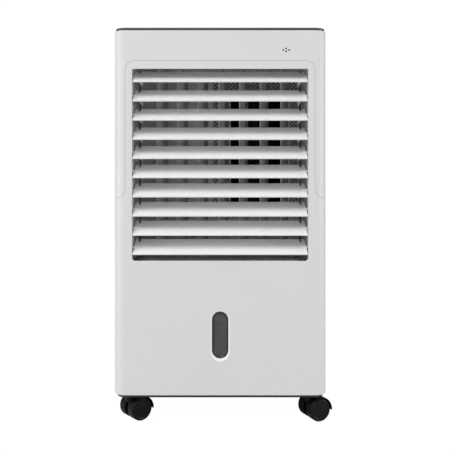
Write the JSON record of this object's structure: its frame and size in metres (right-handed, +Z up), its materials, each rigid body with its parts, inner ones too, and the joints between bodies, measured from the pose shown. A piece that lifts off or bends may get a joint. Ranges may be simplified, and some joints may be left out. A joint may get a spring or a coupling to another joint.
{
  "type": "evaporative cooler",
  "caption": "Tall cabinet air cooler on casters: tilting front louvres over swinging vanes, blower, wet pad, slide-out water tank.",
  "frame": {"origin": "on the floor, under the middle of the cabinet's footprint", "axes": "+X to the viewer's right facing the louvres, -Y out of the front, +Z up"},
  "size_m": [0.4111, 0.3175, 0.7149],
  "materials": {
    "white_shell": "fine satin moulded",
    "white_louvre": "satin",
    "white_button": "satin",
    "charcoal_top": "satin",
    "dark_base": "satin",
    "smoked_window": "polished, smoked",
    "black_receiver": "polished",
    "circuit_board": "lacquered",
    "grey_duct": "moulded",
    "dark_mechanism": "moulded",
    "white_crank": "moulded",
    "motor_steel": "plated",
    "black_blower": "moulded",
    "pad_cellulose": "fluted, wettable",
    "filter_mesh": "woven nylon mesh",
    "tank_plastic": "translucent moulded",
    "clear_hose": "milky, flexible",
    "cord_rubber": "matt",
    "caster_black": "moulded nylon"
  },
  "bodies": {
    "cabinet": {"front_panel": "white_shell", "main_housing": "white_shell", "rear_panel": "white_shell", "base_plate": "dark_base", "top_cover": "charcoal_top", "display_window": "smoked_window", "level_window": "smoked_window", "remote_receiver": "black_receiver", "control_board": "circuit_board", "outlet_duct": "grey_duct", "swing_motor": "motor_steel", "blower_housing": "black_blower", "blower_motor": "motor_steel", "cooling_pad": "pad_cellulose", "water_distributor": "white_crank", "riser_hose": "clear_hose", "power_cord": "cord_rubber"},
    "louvre_01": {"louvre_01": "white_louvre"},
    "louvre_02": {"louvre_02": "white_louvre"},
    "louvre_03": {"louvre_03": "white_louvre"},
    "louvre_04": {"louvre_04": "white_louvre"},
    "louvre_05": {"louvre_05": "white_louvre"},
    "louvre_06": {"louvre_06": "white_louvre"},
    "louvre_07": {"louvre_07": "white_louvre"},
    "louvre_08": {"louvre_08": "white_louvre"},
    "louvre_09": {"louvre_09": "white_louvre"},
    "louvre_10": {"louvre_10": "white_louvre"},
    "louvre_link_left": {"louvre_link_left": "dark_mechanism"},
    "louvre_link_right": {"louvre_link_right": "dark_mechanism"},
    "vane_1": {"vane_1": "dark_mechanism"},
    "vane_2": {"vane_2": "dark_mechanism"},
    "vane_3": {"vane_3": "dark_mechanism"},
    "vane_4": {"vane_4": "dark_mechanism"},
    "vane_5": {"vane_5": "dark_mechanism"},
    "vane_6": {"vane_6": "dark_mechanism"},
    "vane_7": {"vane_7": "dark_mechanism"},
    "vane_link": {"vane_link": "dark_mechanism"},
    "swing_crank": {"swing_crank": "white_crank"},
    "blower_wheel": {"blower_wheel": "black_blower"},
    "intake_cover": {"intake_grille": "white_shell", "dust_filter": "filter_mesh"},
    "tank_drawer": {"water_tank": "tank_plastic", "pump_body": "black_blower"},
    "drain_plug": {"drain_plug": "dark_mechanism"},
    "button_power": {"button_power": "white_button"},
    "button_speed": {"button_speed": "white_button"},
    "button_cool": {"button_cool": "white_button"},
    "button_swing": {"button_swing": "white_button"},
    "caster_front_left": {"caster_fork_front_left": "caster_black"},
    "caster_wheel_front_left_a": {"caster_wheel_front_left_a": "caster_black"},
    "caster_wheel_front_left_b": {"caster_wheel_front_left_b": "caster_black"},
    "caster_front_right": {"caster_fork_front_right": "caster_black"},
    "caster_wheel_front_right_a": {"caster_wheel_front_right_a": "caster_black"},
    "caster_wheel_front_right_b": {"caster_wheel_front_right_b": "caster_black"},
    "caster_rear_left": {"caster_fork_rear_left": "caster_black"},
    "caster_wheel_rear_left_a": {"caster_wheel_rear_left_a": "caster_black"},
    "caster_wheel_rear_left_b": {"caster_wheel_rear_left_b": "caster_black"},
    "caster_rear_right": {"caster_fork_rear_right": "caster_black"},
    "caster_wheel_rear_right_a": {"caster_wheel_rear_right_a": "caster_black"},
    "caster_wheel_rear_right_b": {"caster_wheel_rear_right_b": "caster_black"}
  },
  "joints": [
    {"name": "louvre_01_tilt", "type": "hinge", "parent": "cabinet", "child": "louvre_01", "pos_m": [0, -0.135, 0.6275], "axis": [1, 0, 0], "range_deg": [-25, 35]},
    {"name": "louvre_02_tilt", "type": "hinge", "parent": "cabinet", "child": "louvre_02", "pos_m": [0, -0.135, 0.593], "axis": [1, 0, 0], "range_deg": [-25, 35]},
    {"name": "louvre_03_tilt", "type": "hinge", "parent": "cabinet", "child": "louvre_03", "pos_m": [0, -0.135, 0.5585], "axis": [1, 0, 0], "range_deg": [-25, 35]},
    {"name": "louvre_04_tilt", "type": "hinge", "parent": "cabinet", "child": "louvre_04", "pos_m": [0, -0.135, 0.524], "axis": [1, 0, 0], "range_deg": [-25, 35]},
    {"name": "louvre_05_tilt", "type": "hinge", "parent": "cabinet", "child": "louvre_05", "pos_m": [0, -0.135, 0.4895], "axis": [1, 0, 0], "range_deg": [-25, 35]},
    {"name": "louvre_06_tilt", "type": "hinge", "parent": "cabinet", "child": "louvre_06", "pos_m": [0, -0.135, 0.455], "axis": [1, 0, 0], "range_deg": [-25, 35]},
    {"name": "louvre_07_tilt", "type": "hinge", "parent": "cabinet", "child": "louvre_07", "pos_m": [0, -0.135, 0.4205], "axis": [1, 0, 0], "range_deg": [-25, 35]},
    {"name": "louvre_08_tilt", "type": "hinge", "parent": "cabinet", "child": "louvre_08", "pos_m": [0, -0.135, 0.386], "axis": [1, 0, 0], "range_deg": [-25, 35]},
    {"name": "louvre_09_tilt", "type": "hinge", "parent": "cabinet", "child": "louvre_09", "pos_m": [0, -0.135, 0.3515], "axis": [1, 0, 0], "range_deg": [-25, 35]},
    {"name": "louvre_10_tilt", "type": "hinge", "parent": "cabinet", "child": "louvre_10", "pos_m": [0, -0.135, 0.317], "axis": [1, 0, 0], "range_deg": [-25, 35]},
    {"name": "louvre_link_left_pivot", "type": "hinge", "parent": "louvre_01", "child": "louvre_link_left", "pos_m": [0, -0.10904, 0.61553], "axis": [1, 0, 0], "range_deg": [-35, 25]},
    {"name": "louvre_link_right_pivot", "type": "hinge", "parent": "louvre_01", "child": "louvre_link_right", "pos_m": [0, -0.10904, 0.61553], "axis": [1, 0, 0], "range_deg": [-35, 25]},
    {"name": "vane_1_swing", "type": "hinge", "parent": "cabinet", "child": "vane_1", "pos_m": [-0.111, -0.075, 0.475], "axis": [0, 0, 1], "range_deg": [-9.5, 54.5]},
    {"name": "vane_2_swing", "type": "hinge", "parent": "cabinet", "child": "vane_2", "pos_m": [-0.072, -0.075, 0.475], "axis": [0, 0, 1], "range_deg": [-9.5, 54.5]},
    {"name": "vane_3_swing", "type": "hinge", "parent": "cabinet", "child": "vane_3", "pos_m": [-0.033, -0.075, 0.475], "axis": [0, 0, 1], "range_deg": [-9.5, 54.5]},
    {"name": "vane_4_swing", "type": "hinge", "parent": "cabinet", "child": "vane_4", "pos_m": [0.006, -0.075, 0.475], "axis": [0, 0, 1], "range_deg": [-9.5, 54.5]},
    {"name": "vane_5_swing", "type": "hinge", "parent": "cabinet", "child": "vane_5", "pos_m": [0.045, -0.075, 0.475], "axis": [0, 0, 1], "range_deg": [-9.5, 54.5]},
    {"name": "vane_6_swing", "type": "hinge", "parent": "cabinet", "child": "vane_6", "pos_m": [0.084, -0.075, 0.475], "axis": [0, 0, 1], "range_deg": [-9.5, 54.5]},
    {"name": "vane_7_swing", "type": "hinge", "parent": "cabinet", "child": "vane_7", "pos_m": [0.123, -0.075, 0.475], "axis": [0, 0, 1], "range_deg": [-9.5, 54.5]},
    {"name": "vane_link_pivot", "type": "hinge", "parent": "vane_1", "child": "vane_link", "pos_m": [-0.10411, -0.05837, 0.295], "axis": [0, 0, 1], "range_deg": [-54.5, 9.5]},
    {"name": "swing_crank_turn", "type": "hinge", "parent": "cabinet", "child": "swing_crank", "pos_m": [-0.0915, -0.075, 0.29], "axis": [0, 0, 1], "range_deg": [-9.5, 54.5]},
    {"name": "blower_spin", "type": "hinge", "parent": "cabinet", "child": "blower_wheel", "pos_m": [0.059, 0.045, 0.489], "axis": [0, 0, 1], "continuous": true},
    {"name": "intake_cover_tilt", "type": "hinge", "parent": "cabinet", "child": "intake_cover", "pos_m": [0, 0.1545, 0.3075], "axis": [-1, 0, 0], "range_deg": [0, 70]},
    {"name": "tank_slide", "type": "slide", "parent": "cabinet", "child": "tank_drawer", "axis": [0, 1, 0], "range_m": [0, 0.22]},
    {"name": "drain_plug_pull", "type": "slide", "parent": "tank_drawer", "child": "drain_plug", "axis": [0, 1, 0], "range_m": [0, 0.015]},
    {"name": "button_power_press", "type": "slide", "parent": "cabinet", "child": "button_power", "axis": [0, 0, -1], "range_m": [0, 0.0009], "stiffness_N_per_m": 250, "springref_m": -0.0004},
    {"name": "button_speed_press", "type": "slide", "parent": "cabinet", "child": "button_speed", "axis": [0, 0, -1], "range_m": [0, 0.0009], "stiffness_N_per_m": 250, "springref_m": -0.0004},
    {"name": "button_cool_press", "type": "slide", "parent": "cabinet", "child": "button_cool", "axis": [0, 0, -1], "range_m": [0, 0.0009], "stiffness_N_per_m": 250, "springref_m": -0.0004},
    {"name": "button_swing_press", "type": "slide", "parent": "cabinet", "child": "button_swing", "axis": [0, 0, -1], "range_m": [0, 0.0009], "stiffness_N_per_m": 250, "springref_m": -0.0004},
    {"name": "caster_front_left_swivel", "type": "hinge", "parent": "cabinet", "child": "caster_front_left", "pos_m": [-0.164, -0.125, 0.057], "axis": [0, 0, 1], "continuous": true},
    {"name": "caster_wheel_front_left_a_roll", "type": "hinge", "parent": "caster_front_left", "child": "caster_wheel_front_left_a", "pos_m": [-0.15623, -0.11871, 0.021], "axis": [-0.6293, 0.7771, 0], "continuous": true},
    {"name": "caster_wheel_front_left_b_roll", "type": "hinge", "parent": "caster_front_left", "child": "caster_wheel_front_left_b", "pos_m": [-0.15623, -0.11871, 0.021], "axis": [-0.6293, 0.7771, 0], "continuous": true},
    {"name": "caster_front_right_swivel", "type": "hinge", "parent": "cabinet", "child": "caster_front_right", "pos_m": [0.164, -0.125, 0.057], "axis": [0, 0, 1], "continuous": true},
    {"name": "caster_wheel_front_right_a_roll", "type": "hinge", "parent": "caster_front_right", "child": "caster_wheel_front_right_a", "pos_m": [0.17314, -0.12093, 0.021], "axis": [-0.4067, 0.9135, 0], "continuous": true},
    {"name": "caster_wheel_front_right_b_roll", "type": "hinge", "parent": "caster_front_right", "child": "caster_wheel_front_right_b", "pos_m": [0.17314, -0.12093, 0.021], "axis": [-0.4067, 0.9135, 0], "continuous": true},
    {"name": "caster_rear_left_swivel", "type": "hinge", "parent": "cabinet", "child": "caster_rear_left", "pos_m": [-0.164, 0.125, 0.057], "axis": [0, 0, 1], "continuous": true},
    {"name": "caster_wheel_rear_left_a_roll", "type": "hinge", "parent": "caster_rear_left", "child": "caster_wheel_rear_left_a", "pos_m": [-0.17199, 0.11898, 0.021], "axis": [0.6018, -0.7986, 0], "continuous": true},
    {"name": "caster_wheel_rear_left_b_roll", "type": "hinge", "parent": "caster_rear_left", "child": "caster_wheel_rear_left_b", "pos_m": [-0.17199, 0.11898, 0.021], "axis": [0.6018, -0.7986, 0], "continuous": true},
    {"name": "caster_rear_right_swivel", "type": "hinge", "parent": "cabinet", "child": "caster_rear_right", "pos_m": [0.164, 0.125, 0.057], "axis": [0, 0, 1], "continuous": true},
    {"name": "caster_wheel_rear_right_a_roll", "type": "hinge", "parent": "caster_rear_right", "child": "caster_wheel_rear_right_a", "pos_m": [0.15571, 0.11941, 0.021], "axis": [0.5592, -0.829, 0], "continuous": true},
    {"name": "caster_wheel_rear_right_b_roll", "type": "hinge", "parent": "caster_rear_right", "child": "caster_wheel_rear_right_b", "pos_m": [0.15571, 0.11941, 0.021], "axis": [0.5592, -0.829, 0], "continuous": true}
  ],
  "couplings": [
    {"joint": "louvre_02_tilt", "follows": "louvre_01_tilt", "ratio": 1},
    {"joint": "louvre_03_tilt", "follows": "louvre_01_tilt", "ratio": 1},
    {"joint": "louvre_04_tilt", "follows": "louvre_01_tilt", "ratio": 1},
    {"joint": "louvre_05_tilt", "follows": "louvre_01_tilt", "ratio": 1},
    {"joint": "louvre_06_tilt", "follows": "louvre_01_tilt", "ratio": 1},
    {"joint": "louvre_07_tilt", "follows": "louvre_01_tilt", "ratio": 1},
    {"joint": "louvre_08_tilt", "follows": "louvre_01_tilt", "ratio": 1},
    {"joint": "louvre_09_tilt", "follows": "louvre_01_tilt", "ratio": 1},
    {"joint": "louvre_10_tilt", "follows": "louvre_01_tilt", "ratio": 1},
    {"joint": "louvre_link_left_pivot", "follows": "louvre_01_tilt", "ratio": -1},
    {"joint": "louvre_link_right_pivot", "follows": "louvre_01_tilt", "ratio": -1},
    {"joint": "vane_2_swing", "follows": "vane_1_swing", "ratio": 1},
    {"joint": "vane_3_swing", "follows": "vane_1_swing", "ratio": 1},
    {"joint": "vane_4_swing", "follows": "vane_1_swing", "ratio": 1},
    {"joint": "vane_5_swing", "follows": "vane_1_swing", "ratio": 1},
    {"joint": "vane_6_swing", "follows": "vane_1_swing", "ratio": 1},
    {"joint": "vane_7_swing", "follows": "vane_1_swing", "ratio": 1},
    {"joint": "vane_link_pivot", "follows": "vane_1_swing", "ratio": -1},
    {"joint": "swing_crank_turn", "follows": "vane_1_swing", "ratio": 1}
  ]
}
